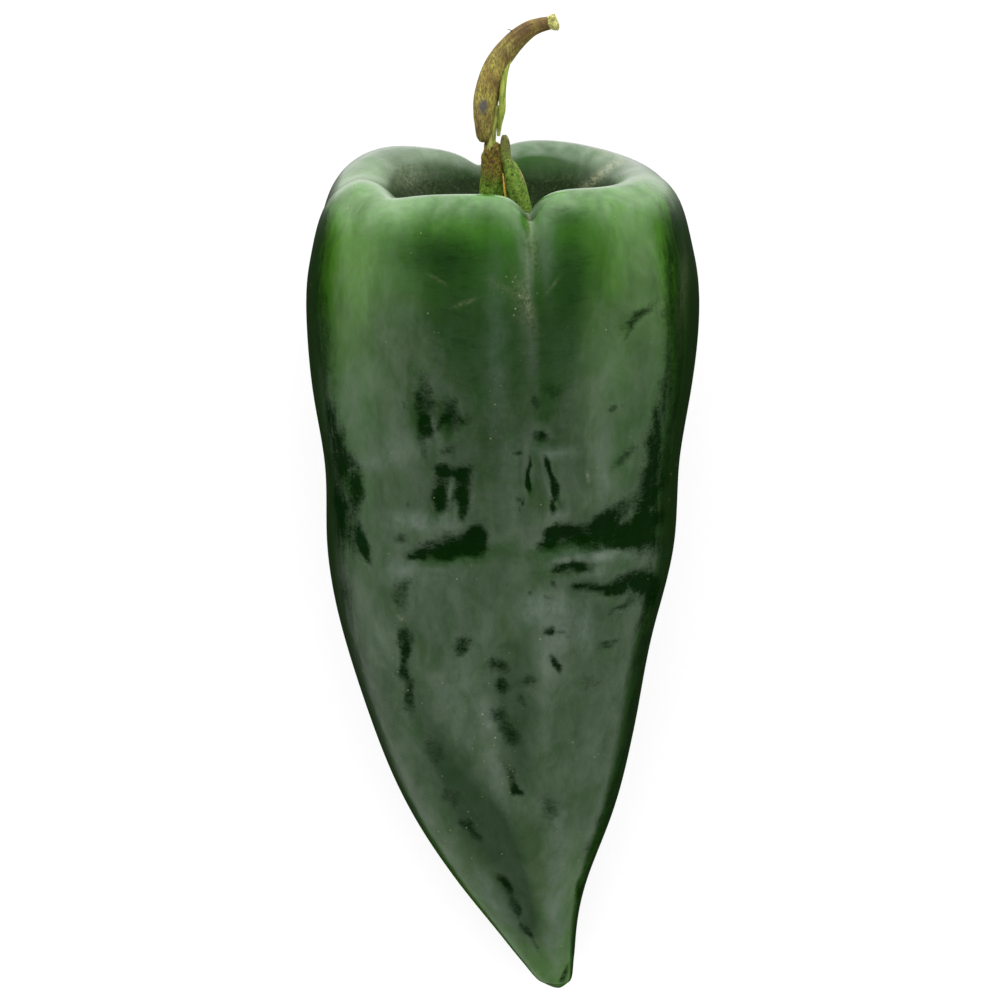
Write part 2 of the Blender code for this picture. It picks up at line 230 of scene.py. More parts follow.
# The share of the normal to either side at which the painted shade of the sides starts, and over which it
# grows.
SIDE_FROM = 0.62
SIDE_REACH = 0.36

# Where the hollow round the stem lies, and how far below the crest its skin grows dark and dull with painted
# shade.
HOLLOW_HALF_WIDTH = 24.0 * MM
HOLLOW_HALF_DEPTH = 20.0 * MM
HOLLOW_DEPTH = 20.0 * MM
HOLLOW_DARK_FROM = 1.6 * MM
HOLLOW_DARK_OVER = 4.0 * MM

# Marks on the skin. Each row is the middle in the picture, the half length and half width in pixels, the turn
# in degrees clockwise from level, and the strength. First the nearly black painted shade, where the skin is
# folded in at the dents and along the sides.
PAINTED_SHADE_MARKS = (
    (674, 300, 100, 12, 91, 0.75),
    (667, 420, 60, 14, 97, 0.72),
    (658, 490, 44, 12, 98, 0.72),
    (650, 620, 54, 11, 102, 1.0),
    (640, 695, 50, 7, 104, 0.9),
    (621, 772, 50, 8, 111, 0.9),
    (600, 832, 36, 8, 115, 0.9),
    (583, 885, 26, 6, 102, 0.8),
    (321, 330, 100, 9, 88, 0.75),
    (331, 450, 50, 10, 84, 0.8),
    (338, 530, 50, 9, 84, 0.75),
    (346, 615, 34, 6, 74, 0.7),
    (366, 700, 50, 5, 68, 0.5),
    (592, 538, 50, 12.5, -4, 0.95),
    (561, 531, 18, 7, -14, 1.0),
    (546, 546, 13, 5, -22, 0.9),
    (622, 514, 27, 11, -46, 0.8),
    (604, 520, 14, 8, -40, 0.8),
    (650, 458, 54, 8, 98, 0.8),
    (652, 500, 30, 5, 120, 0.6),
    (648, 524, 26, 10, -25, 0.9),
    (650, 546, 20, 13, 0, 0.85),
    (624, 545, 26, 5, -10, 0.7),
    (578, 567, 23, 5, -3, 1.0),
    (560, 571, 9, 5, 20, 0.8),
    (576, 585, 11, 3, 15, 0.9),
    (602, 590, 23, 5.5, 3, 1.0),
    (630, 583, 26, 11, -18, 1.0),
    (648, 590, 22, 12, 100, 0.8),
    (553, 586, 5, 3.5, 0, 1.0),
    (532, 594, 4.5, 3, 10, 0.7),
    (549, 597, 6, 2, 0, 0.5),
    (549, 631, 6, 5, 60, 1.0),
    (563, 634, 13, 2.2, 5, 0.6),
    (555, 664, 10, 4.5, 62, 1.0),
    (608, 644, 15, 4.5, -17, 0.75),
    (618, 610, 14, 3.5, -38, 0.6),
    (630, 602, 10, 4, -30, 0.5),
    (540, 437, 9, 7, 0, 0.85),
    (520, 451, 8, 2.8, 0, 0.85),
    (529, 475, 19, 2.6, 91, 1.0),
    (529, 489, 4.5, 5, 0, 0.9),
    (548, 463, 9, 4.5, 85, 0.9),
    (551, 479, 12, 3.6, 74, 1.0),
    (556, 492, 9, 4.5, 85, 1.0),
    (553, 507, 8, 4.5, 102, 1.0),
    (521, 505, 7, 2.2, 110, 0.75),
    (518, 498, 5, 2.4, 0, 0.5),
    (553, 390, 16, 9, 0, 0.45),
    (537, 403, 9, 4, 60, 0.5),
    (627, 456, 18, 6, -50, 0.7),
    (612, 407, 6, 4, -50, 0.7),
    (621, 406, 4, 2, -60, 0.5),
    (638, 316, 24, 5.5, -38, 0.85),
    (628, 334, 10, 3, -60, 0.6),
    (424, 404, 32, 12, 88, 0.78),
    (424, 428, 14, 9, 88, 0.72),
    (424, 452, 10, 5, 88, 0.4),
    (451, 416, 18, 12, 85, 0.84),
    (442, 424, 9, 4, -60, 0.5),
    (466, 420, 6, 5, 0, 0.4),
    (448, 450, 11, 6, 0, 0.6),
    (441, 502, 13, 10, 90, 1.0),
    (440, 480, 18, 9, 95, 0.75),
    (464, 480, 18, 11, 88, 0.8),
    (462, 505, 15, 8, 80, 0.95),
    (452, 472, 20, 7, 0, 0.7),
    (460, 544, 27, 13, -10, 0.78),
    (474, 551, 14, 8, -4, 0.85),
    (436, 554, 28, 8, 2, 0.88),
    (476, 536, 14, 11, -22, 0.9),
    (419, 557, 15, 4, -3, 0.85),
    (425, 541, 13, 3.2, 4, 0.6),
    (400, 539, 6, 4.5, 0, 0.6),
    (407, 502, 6, 3, 90, 0.4),
    (404, 405, 9, 3, 60, 0.45),
    (338, 436, 34, 9, 78, 0.7),
    (346, 466, 28, 12, 56, 0.9),
    (356, 494, 18, 9, 84, 0.85),
    (350, 522, 42, 12, 72, 0.85),
    (364, 549, 19, 4, 63, 0.95),
    (345, 588, 16, 6, 74, 0.8),
    (399, 596, 14, 11, 80, 0.6),
    (408, 585, 9, 6, 0, 0.5),
    (404, 637, 12, 9, 80, 0.9),
    (404, 655, 9, 7, 90, 0.95),
    (403, 671, 9, 7, 90, 0.85),
    (409, 697, 21, 7, 84, 0.9),
    (462, 646, 13, 8, 118, 0.85),
    (498, 666, 14, 8, 20, 0.75),
    (503, 686, 8, 8, 70, 0.8),
    (528, 681, 10, 8, 30, 0.6),
    (522, 700, 10, 6, 60, 0.5),
    (500, 716, 13, 9, 30, 0.75),
    (434, 752, 18, 11, 62, 0.5),
    (450, 797, 16, 9, 60, 0.55),
    (592, 682, 14, 10, 0, 0.45),
    (511, 736, 14, 9, 40, 0.8),
    (512, 780, 20, 6, 72, 0.65),
    (518, 792, 6, 5, 0, 0.8),
    (549, 808, 16, 9, 80, 0.6),
    (465, 824, 8, 7, 30, 0.9),
    (476, 835, 10, 5, 24, 0.8),
    (505, 884, 15, 6, 52, 0.95),
    (516, 910, 13, 5.5, 76, 0.9),
    (527, 932, 9, 5, 50, 0.85),
    (534, 946, 8, 3, 62, 0.5),
    (567, 973, 15, 4, 112, 0.9),
    (582, 891, 10, 5, 90, 0.5),
)

# Places where the skin is a deeper green and duller: partly its own colour, partly painted shade where the
# gloss darkens in the middle of the lobes and below the crest's highlight.
DEEP_GREEN_AND_SHADE = (
    (440, 258, 40, 22, 10, 0.8),
    (478, 214, 40, 11, 8, 0.3),
    (566, 216, 24, 14, 0, 0.6),
    (572, 280, 44, 24, 90, 0.8),
    (460, 320, 60, 34, 90, 0.5),
    (540, 350, 70, 26, 90, 0.55),
    (470, 400, 90, 40, 90, 0.3),
    (505, 690, 60, 20, 84, 0.25),
    (490, 850, 72, 30, 60, 0.9),
    (520, 918, 36, 15, 62, 0.9),
    (455, 770, 60, 24, 66, 0.35),
    (405, 640, 70, 12, 84, 0.3),
    (612, 610, 26, 16, 0, 0.3),
    (440, 758, 46, 14, 66, 0.8),
    (478, 812, 40, 16, 62, 0.7),
    (514, 862, 70, 11, 72, 0.8),
    (520, 696, 50, 22, 84, 0.7),
    (518, 752, 34, 16, 80, 0.7),
    (430, 640, 30, 14, 60, 0.35),
)

# Paler grey-blue places: painted reflection of the studio's light, where the wax is thicker.
BLOOM_AND_REFLECTION = (
    (552, 452, 25, 6, 3, 0.8),
    (552, 516, 15, 4, 4, 0.5),
    (452, 500, 22, 2.6, 84, 0.7),
    (402, 570, 17, 13, 0, 0.8),
    (424, 522, 34, 9, 8, 0.8),
    (536, 608, 20, 17, 0, 1.0),
    (562, 618, 28, 14, 90, 0.85),
    (584, 626, 26, 9, 90, 0.85),
    (590, 575, 24, 5, -4, 0.4),
    (592, 556, 54, 7, -4, 0.9),
    (366, 462, 17, 7, 16, 0.5),
    (352, 396, 34, 12, 90, 0.35),
    (400, 450, 26, 16, 0, 0.25),
    (605, 520, 5, 40, 0, 0.2),
    (602, 470, 44, 6, 92, 0.35),
    (512, 470, 50, 12, 90, 0.25),
    (496, 340, 90, 11, 90, 0.5),
    (545, 250, 30, 10, 90, 0.3),
    (450, 600, 40, 22, 90, 0.25),
    (496, 905, 34, 6, 64, 0.3),
    (552, 925, 40, 11, 88, 0.4),
    (452, 566, 20, 3, -8, 0.45),
    (558, 880, 76, 12, 92, 0.75),
    (487, 718, 22, 9, 68, 0.8),
    (496, 775, 22, 8, 80, 0.7),
    (450, 688, 36, 18, 118, 0.45),
    (376, 640, 44, 14, 70, 0.4),
    (462, 730, 30, 10, 70, 0.35),
    (600, 720, 70, 24, 98, 0.15),
    (548, 655, 26, 14, 80, 0.6),
    (498, 903, 46, 9, 52, 0.75),
)

# Places with many small pale dots.
DOTTED = (
    (400, 688, 26, 12, 80, 0.9),
    (492, 735, 60, 14, 76, 0.9),
    (436, 684, 20, 10, 120, 0.6),
    (586, 764, 22, 10, -20, 0.8),
    (549, 826, 10, 9, 0, 0.9),
    (452, 830, 22, 9, -20, 0.8),
    (500, 653, 10, 6, 0, 0.9),
    (462, 728, 10, 6, 0, 0.9),
    (400, 620, 14, 7, 60, 0.9),
    (518, 300, 30, 20, 60, 0.7),
    (610, 330, 12, 7, 0, 0.6),
    (497, 405, 26, 8, 90, 0.4),
    (575, 575, 20, 12, 0, 0.4),
)

# The grey corky scars.
SCARS = (
    (529, 222, 14, 3, 86, 0.7),
    (534, 252, 22, 4, 84, 0.4),
    (527, 262, 40, 2.5, 88, 0.4),
    (465, 303, 12, 1.6, -20, 0.4),
    (437, 279, 9, 1.5, 30, 0.35),
    (553, 285, 10, 1.5, -50, 0.35),
    (588, 477, 4, 1.5, 80, 0.9),
    (448, 531, 5, 1.6, 5, 0.9),
    (400, 618, 5, 2.5, 20, 0.6),
    (520, 300, 30, 9, 80, 0.14),
    (500, 286, 18, 4, 30, 0.16),
    (527, 304, 24, 5, 70, 0.35),
    (604, 172, 24, 4, -38, 2.0),
    (686, 265, 54, 5, 94, 0.4),
    (640, 166, 20, 3, 8, 1.4),
    (366, 178, 24, 3, 6, 0.8),
    (404, 176, 22, 16, 0, 0.6),
    (620, 156, 26, 3, 16, 1.5),
)

# The marks that the skin's material reads, with how steep their edges are, and how far these wander.
MARK_LAYERS = (
    ("dark", PAINTED_SHADE_MARKS, 1.6, MARK_WANDER),
    ("deep_green_and_shade", DEEP_GREEN_AND_SHADE, 1.0, 0.0),
    ("bloom_and_reflection", BLOOM_AND_REFLECTION, 1.3, MARK_WANDER),
    ("dotted", DOTTED, 1.0, 0.0),
    ("scar", SCARS, 1.0, 0.0),
)

# The calyx sits in the hollow. Each row is the radius and the height above the hollow's floor there in
# millimetres, from its edge up to the foot of the stem.
CALYX_TOP = ((8.4, 1.0), (7.4, 1.5), (6.2, 2.8), (5.0, 4.2), (4.1, 5.4), (3.2, 6.6), (2.4, 7.4))
# The angle at which the calyx's upper side ends, and its points round it and rings.
CALYX_TURN = 0.62 * math.pi
CALYX_AROUND = 180
CALYX_RINGS = 120
# The points of the calyx's star, and how far they reach as a share of its radius.
CALYX_POINTS = 5
CALYX_POINT_REACH = 0.09
# Where the calyx's middle lies, and how it leans from this height up.
CALYX_CENTRE_RIGHT = 0.9 * MM
CALYX_LEAN_FROM = 3.0 * MM
CALYX_LEAN_RIGHT = -0.12
GAP = 0.3 * MM

# The stem's pieces. Each row is a place on the piece's middle line in the pepper's frame, then its half
# width and half depth there, all in millimetres.
STEM_FOOT = (
    (-0.9, -9.5, 0.0, 3.5, 3.0),
    (-1.1, -6.6, 0.0, 3.0, 2.8),
    (-1.4, -3.05, 0.1, 2.5, 2.4),
    (-1.6, -0.56, 0.2, 2.15, 2.2),
    (-1.65, 1.1, 0.2, 2.0, 2.0),
    (-1.75, 2.5, 0.2, 1.8, 1.8),
    (-2.1, 3.6, 0.2, 1.2, 1.3),
    (-2.1, 4.4, 0.2, 0.6, 0.8),
)
STEM_FLAP = (
    (2.8, -9.6, 0.9, 2.6, 2.3),
    (2.35, -6.4, 0.9, 2.35, 2.1),
    (1.8, -3.4, 0.9, 1.95, 1.9),
    (1.15, -0.56, 0.8, 1.45, 1.6),
    (0.45, 1.1, 0.7, 1.1, 1.35),
    (0.3, 2.75, 0.6, 1.0, 1.1),
    (0.25, 4.1, 0.5, 0.78, 0.9),
    (0.15, 5.1, 0.4, 0.38, 0.5),
)
STEM_SHANK = (
    (-3.0, 4.03, 0.4, 0.95, 1.1),
    (-3.0, 5.0, 0.4, 1.45, 1.55),
    (-3.05, 7.24, 0.35, 1.8, 1.85),
    (-2.9, 10.35, 0.3, 2.1, 2.1),
    (-2.2, 13.84, 0.2, 2.1, 2.1),
    (-0.85, 17.15, 0.1, 2.0, 2.05),
    (1.55, 20.25, 0.0, 1.78, 1.85),
    (4.05, 22.39, 0.0, 1.5, 1.55),
    (5.95, 23.22, 0.0, 1.3, 1.35),
    (7.35, 23.56, 0.0, 1.15, 1.2),
)
STEM_STRIP = (
    (1.1, 17.6, 0.6, 0.3, 0.6),
    (0.3, 15.6, 0.8, 0.55, 0.85),
    (-0.05, 13.2, 0.9, 0.6, 0.9),
    (-0.15, 10.4, 0.9, 0.62, 0.9),
    (-0.35, 8.6, 0.8, 0.62, 0.75),
    (-0.6, 6.6, 0.7, 0.42, 0.5),
    (-0.75, 5.0, 0.6, 0.26, 0.35),
)
STEM_FIBRES = (
    (-0.95, 10.0, 0.9, 0.4, 0.7),
    (-1.2, 8.0, 0.8, 0.45, 0.8),
    (-1.55, 5.8, 0.7, 0.5, 0.8),
    (-1.95, 3.8, 0.7, 0.75, 1.0),
    (-2.05, 2.4, 0.6, 0.9, 1.2),
)
STEM_CUT = (
    (6.75, 23.41, 0.0, 1.0, 1.1),
    (7.65, 23.61, 0.0, 1.22, 1.3),
    (8.45, 23.7, 0.0, 1.36, 1.45),
    (8.8, 23.78, 0.0, 1.1, 1.25),
)
STEM_VEIN = (
    (0.0, -0.9, 2.1, 0.08, 0.14),
    (0.2, -2.2, 2.5, 0.14, 0.24),
    (0.4, -4.0, 2.75, 0.17, 0.26),
    (0.75, -5.9, 3.0, 0.14, 0.2),
)
STEM_SPIKE = (
    (1.7, 22.0, 0.3, 0.14, 0.14),
    (1.15, 22.45, 0.5, 0.09, 0.09),
    (0.6, 22.6, 0.6, 0.04, 0.04),
)
# The share of a limb over which its direction is measured.
LIMB_STEP = 0.01

# The relief of bark: how far it is shrunken, then layers of fibres. A layer is how far they stand out as a
# share of the limb's width, how fine they are round it and along it, and where their noise lies.
DRY_BARK = (0.05, (0.07, 3.2, 5, 3.0), (0.035, 8.0, 14, 9.0))
TORN_BARK = (0.08, (0.13, 2.4, 4, 21.0), (0.06, 7.0, 12, 27.0))
TORN_END = (0.12, (0.3, 2.6, 3, 41.0), (0.2, 7.0, 5, 47.0))


def spline(knots, values, at):
    """The natural cubic spline through the values at the knots, read at every place in `at`."""
    step = np.diff(knots)
    rise = np.diff(values) / step
    size = len(knots)
    matrix = np.eye(size)
    right = np.zeros(size)
    for i in range(1, size - 1):
        matrix[i, i - 1 : i + 2] = (step[i - 1], 2 * (step[i - 1] + step[i]), step[i])
        right[i] = 6 * (rise[i] - rise[i - 1])
    bend = np.linalg.solve(matrix, right)
    i = np.clip(np.searchsorted(knots, at) - 1, 0, size - 2)
    h = step[i]
    before = knots[i + 1] - at
    after = at - knots[i]
    return (
        (bend[i] * before**3 + bend[i + 1] * after**3) / (6 * h)
        + (values[i] / h - bend[i] * h / 6) * before
        + (values[i + 1] / h - bend[i + 1] * h / 6) * after
    )


def smooth(knots, values, at):
    """A smooth curve through the values that never swings past them, read at every place in `at`."""
    step = np.diff(knots)
    rise = np.diff(values) / step
    slope = np.zeros(len(knots))
    same_way = rise[:-1] * rise[1:] > 0
    weight_a = 2 * step[1:] + step[:-1]
    weight_b = step[1:] + 2 * step[:-1]
    safe_a = np.where(same_way, rise[:-1], 1)
    safe_b = np.where(same_way, rise[1:], 1)
    slope[1:-1] = np.where(same_way, (weight_a + weight_b) / (weight_a / safe_a + weight_b / safe_b), 0)
    i = np.clip(np.searchsorted(knots, at) - 1, 0, len(step) - 1)
    t = (at - knots[i]) / step[i]
    start = values[i] + t * step[i] * slope[i]
    end = values[i + 1] - (1 - t) * step[i] * slope[i + 1]
    return start + (end - start) * t * t * (3 - 2 * t)


def unit(vectors):
    """The vectors, each made one long."""
    return vectors / np.linalg.norm(vectors, axis=1, keepdims=True)


def section(depth):
    """The middle (x, z) and the half width and half depth of the fruit's section, `depth` below the crest."""
    rows = np.array(SECTIONS) * MM
    left, right, front, back = (spline(rows[:, 0], rows[:, i], depth) for i in (1, 2, 3, 4))
    return (right - left) / 2, (front - back) / 2, (left + right) / 2, (front + back) / 2


def crest_height(bearing):
    """How high the crest stands at each bearing, before the furrows."""
    rows = np.array(CREST)
    knots = np.concatenate([rows[:, 0] - 360, rows[:, 0], rows[:, 0] + 360])
    return spline(knots, np.tile(rows[:, 1], 3), np.degrees(bearing)) * MM


def furrows(bearing, depth):
    """How far the furrows lower the crest, and how far they crease the wall, at each bearing and depth."""
    dip = np.zeros_like(bearing)
    crease = np.zeros_like(bearing)
    for centre, half_width, crest_dip, wall_depth, run in FURROWS:
        away = np.angle(np.exp(1j * (bearing - math.radians(centre)))) / math.radians(half_width)
        valley = 1 / (1 + np.abs(away) ** 1.8)
        dip += crest_dip * MM * valley
        crease += wall_depth * MM * valley * np.exp(-((depth / (run * MM)) ** 2))
    return dip, crease


def meridian_at(polar):
    """The share of the section's size and the depth below the crest, and the angle of the crest.

    The angles are measured from the stem's pole.
    """
    rows = np.array(MERIDIAN)
    apart = np.hypot(np.diff(rows[:, 0]) * SECTIONS[0][1], np.diff(rows[:, 1]))
    knots = np.concatenate([[0], np.cumsum(apart**RING_CROWDING)])
    knots *= math.pi / knots[-1]
    shifts = [np.clip(polar + shift * np.sin(polar), 0, math.pi) for shift in MERIDIAN_SHIFTS]
    share, depth = (np.mean([smooth(knots, rows[:, i], at) for at in shifts], axis=0) for i in (0, 1))
    return share, depth * MM, knots[CREST_ROW]


def unevenness(points):
    """A gentle unevenness of the skin, the same on every run."""
    scaled = points / UNEVEN_WAVELENGTH
    return UNEVENNESS * np.array([noise.noise(Vector(p)) for p in scaled])


def fruit_surface(polar, bearing):
    """Points of the fruit, for angles from the stem's pole (0 to pi) and bearings from the front."""
    share, depth, crest = meridian_at(polar)
    middle_x, middle_z, half_width, half_depth = section(depth)
    sine, cosine = np.sin(bearing), np.cos(bearing)
    power = (SQUARENESS_FRONT + SQUARENESS_BACK + (SQUARENESS_FRONT - SQUARENESS_BACK) * cosine) / 2
    radius = (np.abs(sine / half_width) ** power + np.abs(cosine / half_depth) ** power) ** (-1 / power)

    dip, crease = furrows(bearing, np.where(polar > crest, depth, 0))
    near_crest = np.exp(-((depth / (CREST_REACH * MM)) ** 2)) * np.clip(share / CREST_FULL_SHARE, 0, 1) ** 2
    out = radius * share - crease * share**2
    x = middle_x + out * sine
    z = middle_z + out * cosine
    y = -depth + (crest_height(bearing) - dip) * near_crest

    wall = np.clip((share - UNEVEN_FROM_SHARE) / (1 - UNEVEN_FROM_SHARE), 0, 1)
    points = np.stack([x, y, z], axis=1)
    pushed = unevenness(points) * wall
    points[:, 0] += pushed * sine
    points[:, 2] += pushed * cosine
    return points


def hollow_floor(radius):
    """How high the hollow's floor lies at this distance from its middle."""
    rows = np.array(MERIDIAN[: CREST_ROW + 1])
    return -np.interp(radius / (SECTIONS[0][3] * MM), rows[:, 0], rows[:, 1]) * MM


def calyx_surface(polar, bearing):
    """Points of the calyx: its upper side down from the stem, then its underside along the hollow's floor."""
    top = np.array(CALYX_TOP[::-1]) * MM
    edge = top[-1, 0]
    on_top = polar <= CALYX_TURN
    knots = np.linspace(0, CALYX_TURN, len(top) + 1)
    radius_top = smooth(knots, np.append([0], top[:, 0]), np.minimum(polar, CALYX_TURN))
    above = smooth(knots, np.append([top[0, 1]], top[:, 1]), np.minimum(polar, CALYX_TURN))
    radius_under = edge * (math.pi - polar) / (math.pi - CALYX_TURN)
    radius = np.where(on_top, radius_top, radius_under)
    radius *= 1 + CALYX_POINT_REACH * np.cos(CALYX_POINTS * bearing) * (radius / edge) ** 3
    leaning = CALYX_LEAN_RIGHT * np.clip(above - CALYX_LEAN_FROM, 0, None)
    x = CALYX_CENTRE_RIGHT + radius * np.sin(bearing) + np.where(on_top, leaning, 0)
    z = radius * np.cos(bearing)
    y = hollow_floor(radius) + np.where(on_top, above, GAP)
    return np.stack([x, y, z], axis=1)


def limb_surface(stations, rings, bark):
    """A function for points of a tapered limb with cut ends and this bark, along the line of the stations."""
    rows = np.array(stations) * MM
    knots = np.linspace(0, 1, len(rows))
    first_ring = math.pi / rings

    def middle(t):
        return np.stack([spline(knots, rows[:, i], np.clip(t, 0, 1)) for i in range(3)], axis=1)

    def surface(polar, bearing):
        t = np.clip((polar - first_ring) / (math.pi - 2 * first_ring), 0, 1)
        along = unit(middle(t + LIMB_STEP) - middle(t - LIMB_STEP))
        across = unit(np.cross(along, (0, 0, 1)))
        front = np.cross(across, along)
        off_the_poles = np.sin(polar) > math.sin(first_ring / 2)
        out = off_the_poles * (1 + relief(bark, bearing, t))
        half_width = spline(knots, rows[:, 3], t) * out * np.sin(bearing)
        half_depth = spline(knots, rows[:, 4], t) * out * np.cos(bearing)
        return middle(t) + across * half_width[:, None] + front * half_depth[:, None]

    return surface


def grain(bearing, t, round_scale, long_scale, seed):
    """Noise that runs along a limb like fibres, for each bearing round it and share of the way along."""
    x = np.cos(bearing) * round_scale + seed
    y = np.sin(bearing) * round_scale
    places = np.stack([x, y, t * long_scale], axis=1)
    return np.array([noise.noise(Vector(p)) for p in places])


def relief(bark, bearing, t):
    """How far bark stands out from a limb, as a share of the limb's width."""
    shrunken, *layers = bark
    return sum(height * grain(bearing, t, *fibres) for height, *fibres in layers) - shrunken


def to_row(points):
    """Points of the pepper's frame in the row's frame."""
    return points @ np.array(AXIS_TURN).T + np.array(AXIS_PLACE)


def from_row(points):
    """Points of the row's frame in the pepper's frame."""
    return (points - np.array(AXIS_PLACE)) @ np.array(AXIS_TURN)


def picture_place(points):
    """Where the camera sees points of the row's frame, in pixels to the right and down."""
    away = np.array((0, math.sin(CAMERA_LEAN), math.cos(CAMERA_LEAN)))
    up = np.array((0, math.cos(CAMERA_LEAN), -math.sin(CAMERA_LEAN)))
    distance = PICTURE_WIDTH * CAMERA_LENS / CAMERA_SENSOR
    seen = points - np.array(CAMERA_TARGET)
    scale = PICTURE_PIXELS / PICTURE_WIDTH * distance / (distance - seen @ away)
    middle = PICTURE_PIXELS / 2
    return middle + seen[:, 0] * scale, middle - (seen @ up) * scale


def wander(along, across):
    """An uneven shift, between -1.3 and 1.3, which keeps the marks' edges from being smooth ovals."""
    slow = np.sin(along * 0.17 + 2.1 * np.sin(across * 0.11))
    quick = np.sin(along * 0.43 + 1.7 * np.sin(across * 0.29 + 1.0))
    return slow + 0.3 * quick


def marks(points, normals, rows, power, uneven=0.0):
    """The sum of the rows' soft ovals at points of the row's frame, on the side that the camera sees.

    A higher `power` makes their edges steeper.
    """
    right, down = picture_place(points)
    right, down = right + uneven * wander(down, right), down + uneven * wander(right, down)
    facing = np.clip((normals[:, 2] - MARK_FACING) / (1 - MARK_FACING), 0, 1) ** 0.5
    total = np.zeros(len(points))
    for middle_right, middle_down, half_length, half_width, turn, strength in rows:
        cosine, sine = math.cos(math.radians(turn)), math.sin(math.radians(turn))
        across = right - middle_right
        along = down - middle_down
        u = (across * cosine + along * sine) / half_length
        v = (along * cosine - across * sine) / half_width
        total += strength * np.exp(-((u**2 + v**2) ** power))
    return total * facing


def sphere_mesh(name, around, rings, surface, crowding=0.0):
    """A closed mesh whose points lie on a surface, by their angle from the first pole and their bearing.

    `crowding` draws the points together round the front.
    """
    turn = np.linspace(-math.pi, math.pi, around, endpoint=False)
    turn -= crowding * np.sin(turn)
    steps = np.arange(1, rings) * math.pi / rings
    polar = np.concatenate([[0], np.repeat(steps, around), [math.pi]])
    bearing = np.concatenate([[0], np.tile(turn, rings - 1), [0]])
    points = surface(polar, bearing)
    here = np.arange(around)
    after = (here + 1) % around
    band = 1 + around * np.arange(rings - 2)[:, None]
    corners = [band + here, band + around + here, band + around + after, band + after]
    quads = np.stack(corners, axis=-1).reshape(-1, 4)
    last = len(points) - 1
    caps = [(0, 1 + i, 1 + j) for i, j in zip(here, after)]
    caps += [(last, last - around + j, last - around + i) for i, j in zip(here, after)]
    faces = quads.tolist() + caps
    a, b, c = (points[quads[:, i]] for i in (0, 1, 2))
    if np.einsum("ij,ij->", a, np.cross(b, c)) < 0:
        faces = [face[::-1] for face in faces]
    mesh = bpy.data.meshes.new(name)
    mesh.from_pydata(points.tolist(), [], faces)
    mesh.shade_smooth()
    return mesh


def read(rows, name, kind=float, width=1):
    """What each row of a mesh's data keeps under this name, which may be a vector of this width."""
    values = np.empty(len(rows) * width, kind)
    rows.foreach_get(name, values)
    return values if width == 1 else values.reshape(-1, width)


def set_points(mesh, points):
    """Moves the mesh's vertices to these places."""
    mesh.vertices.foreach_set("co", points.ravel())
    mesh.update()


def add_piece(name, mesh, material, node):
    """A piece of the pepper in the row's frame, which stands for a node of the solids."""
    set_points(mesh, to_row(read(mesh.vertices, "co", width=3)))
    piece = bpy.data.objects.new(name, mesh)
    bpy.context.scene.collection.objects.link(piece)
    mesh.materials.append(material)
    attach(piece, BODY)
    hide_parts(node)


class Nodes:
    """Adds nodes to a node tree with few words."""

    def __init__(self, tree):
        self.tree = tree

    def add(self, kind, inputs=(), **settings):
        """A new node with these settings and inputs."""
        node = self.tree.nodes.new(kind)
        for key, value in settings.items():
            setattr(node, key, value)
        for key, value in dict(inputs).items():
            self.put(node.inputs[key], value)
        return node

    def put(self, socket, value):
        """Links the socket to a socket, or sets it to a value."""
        if isinstance(value, bpy.types.NodeSocket):
            self.tree.links.new(value, socket)
        else:
            socket.default_value = value

    def swing(self, noise, reach):
        """A noise that swings to both sides of 0 in place of 0.5, times `reach`."""
        return self.math("MULTIPLY", self.math("SUBTRACT", noise, 0.5), reach)

    def ramp(self, factor, *stops, interpolation="LINEAR"):
        """Goes through (position, colour or value) stops."""
        node = self.add("ShaderNodeValToRGB", {"Fac": factor})
        node.color_ramp.interpolation = interpolation
        elements = node.color_ramp.elements
        while len(elements) < len(stops):
            elements.new(0.5)
        for element, (position, colour) in zip(elements, stops):
            element.position = position
            element.color = (*colour, 1) if isinstance(colour, tuple) else (colour, colour, colour, 1)
        return node.outputs["Color"]

    def step(self, factor, start, end, low=0.0, high=1.0):
        """A value that goes from `low` at the start to `high` at the end."""
        return self.ramp(factor, (start, low), (end, high))

    def curve(self, factor, stops):
        """A smooth curve through (position, value) stops."""
        top = max(value for position, value in stops)
        shares = [(position, value / top) for position, value in stops]
        return self.math("MULTIPLY", self.ramp(factor, *shares, interpolation="EASE"), top)

    def mix(self, factor, a, b, blend="MIX"):
        """The colour a, with as much of b as the factor says."""
        node = self.add("ShaderNodeMix", data_type="RGBA", blend_type=blend)
        sockets = {socket.identifier: socket for socket in node.inputs}
        for key, value in (("Factor_Float", factor), ("A_Color", a), ("B_Color", b)):
            self.put(sockets[key], (*value, 1) if isinstance(value, tuple) and len(value) == 3 else value)
        return {socket.identifier: socket for socket in node.outputs}["Result_Color"]

    def math(self, operation, a, b=0.0):
        return self.add("ShaderNodeMath", {0: a, 1: b}, operation=operation).outputs[0]

    def product(self, first, *others):
        """All the values multiplied."""
        for other in others:
            first = self.math("MULTIPLY", first, other)
        return first

    def share_of(self, value, start, length):
        """How far the value has gone from the start, as a share of the length."""
        return self.math("DIVIDE", self.math("SUBTRACT", value, start), length)

    def parts(self, vector):
        """The x, y and z of a vector."""
        return tuple(self.add("ShaderNodeSeparateXYZ", {"Vector": vector}).outputs)


